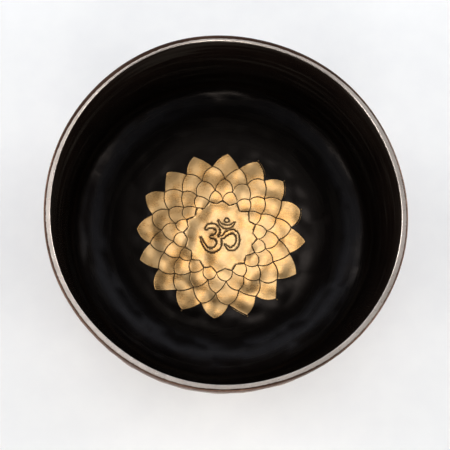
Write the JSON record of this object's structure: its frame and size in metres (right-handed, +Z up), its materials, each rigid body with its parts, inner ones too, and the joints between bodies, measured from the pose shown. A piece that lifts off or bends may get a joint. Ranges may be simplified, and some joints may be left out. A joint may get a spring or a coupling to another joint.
{
  "type": "singing bowl",
  "caption": "Deep round hammered metal bowl, black inside, with a gilded lotus and an Om on its floor, a bare ground rim and a small flat foot.",
  "frame": {"origin": "on the surface the bowl stands on, in the middle of its flat foot", "axes": "+Z up along the bowl's axis; -Y is the side nearest a person who reads the sign on the floor upright, and +X is to their right"},
  "size_m": [0.2012, 0.2012, 0.092],
  "materials": {
    "bronze": "satin",
    "black_lacquer": "gloss",
    "brown_coat": "satin",
    "gilding": "satin"
  },
  "bodies": {
    "root": {"bronze_bowl": "bronze", "black_inner_coat": "black_lacquer", "brown_outer_coat": "brown_coat", "gilt_centre_star": "gilding", "gilt_om_sign": "gilding", "gilt_inner_petals": "gilding", "gilt_second_petals": "gilding", "gilt_third_petals": "gilding", "gilt_outer_petals": "gilding"}
  },
  "joints": []
}
